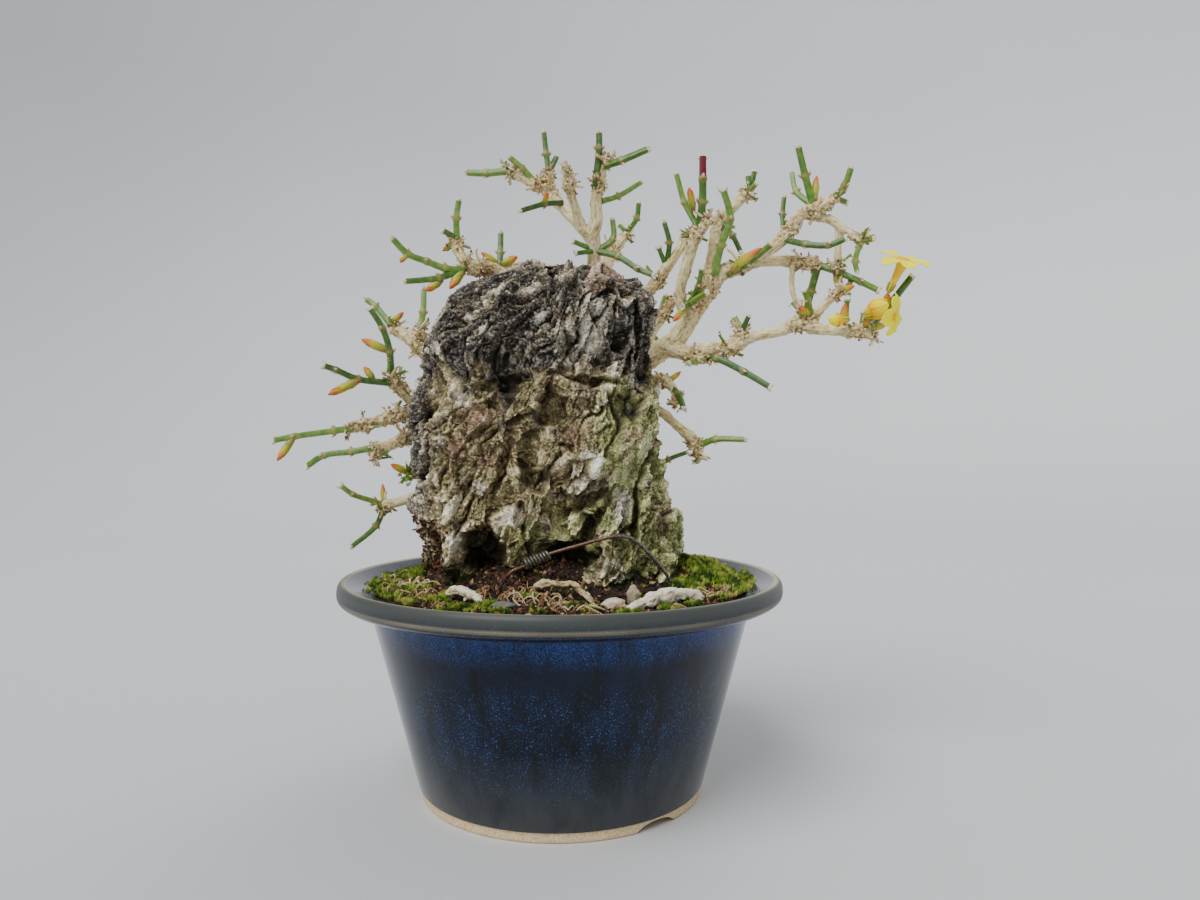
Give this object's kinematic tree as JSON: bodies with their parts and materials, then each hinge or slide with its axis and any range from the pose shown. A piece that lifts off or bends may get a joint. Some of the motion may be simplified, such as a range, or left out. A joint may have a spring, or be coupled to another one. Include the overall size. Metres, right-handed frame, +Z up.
{
  "type": "winter jasmine bonsai on a rock",
  "caption": "Winter jasmine bonsai trained over a tall craggy rock, with bare green shoots and yellow flowers, in a round dark blue glazed pot.",
  "frame": {"origin": "middle of the whole object's outer box, on the plane that the pot's foot stands on", "axes": "+Z up, -Y towards the side that it is looked at from, +X towards the long flowering branch"},
  "size_m": [0.2276, 0.1516, 0.2372],
  "materials": {
    "glazed_stoneware": "gloss",
    "net": "matte",
    "tie_wire": "satin",
    "soil": "matte",
    "rock": "rough",
    "bark": "rough",
    "green_stem": "satin",
    "petal": "satin",
    "root_bark": "matte",
    "pebble": "matte"
  },
  "bodies": {
    "root": {"pot": "glazed_stoneware", "drainage_mesh": "net", "mesh_staple": "tie_wire", "rock": "rock", "jasmine_wood": "bark", "shoots_left_long": "green_stem", "shoots_left_middle": "green_stem", "shoots_left_knob": "green_stem", "shoots_left_low": "green_stem", "shoots_left_forward": "green_stem", "shoots_left_rising": "green_stem", "shoots_left_upper": "green_stem", "shoots_left_upright": "green_stem", "shoots_top_left_long": "green_stem", "shoots_top_left_upright": "green_stem", "shoots_top_left_short": "green_stem", "shoots_crown_left": "green_stem", "shoots_crown_arm": "green_stem", "shoots_crown_tip": "green_stem", "shoots_crown_inner": "green_stem", "shoots_crown_upright": "green_stem", "shoots_crown_right": "green_stem", "shoots_crown_right_low": "green_stem", "shoots_crown_base": "green_stem", "shoots_right_inner": "green_stem", "shoots_right_crimson": "green_stem", "shoots_right_front": "green_stem", "shoots_right_tips": "green_stem", "shoots_right_drooping": "green_stem", "shoots_right_big_bud": "green_stem", "shoots_right_knuckle": "green_stem", "shoots_right_diagonal": "green_stem", "shoots_right_under": "green_stem", "shoots_right_low": "green_stem", "shoots_branch_stub": "green_stem", "shoots_far_tips": "green_stem", "shoots_far_point": "green_stem", "shoots_far_inner": "green_stem", "shoots_far_arm": "green_stem", "shoots_far_long": "green_stem", "shoots_branch_knuckle": "green_stem", "shoots_branch_upper": "green_stem", "shoots_branch_buds": "green_stem", "shoots_flowering": "green_stem", "shoots_back_left": "green_stem", "shoots_back_right": "green_stem", "shoots_back_top": "green_stem", "shoots_back_low": "green_stem", "corolla_upper": "petal", "corolla_facing": "petal", "corolla_opening": "petal", "tie_wire": "tie_wire", "surface_root_right": "root_bark", "surface_root_middle": "root_bark", "surface_root_left": "root_bark", "stone_cream": "pebble", "stone_finger": "pebble", "stone_grey": "pebble", "soil": "soil"}
  },
  "joints": []
}
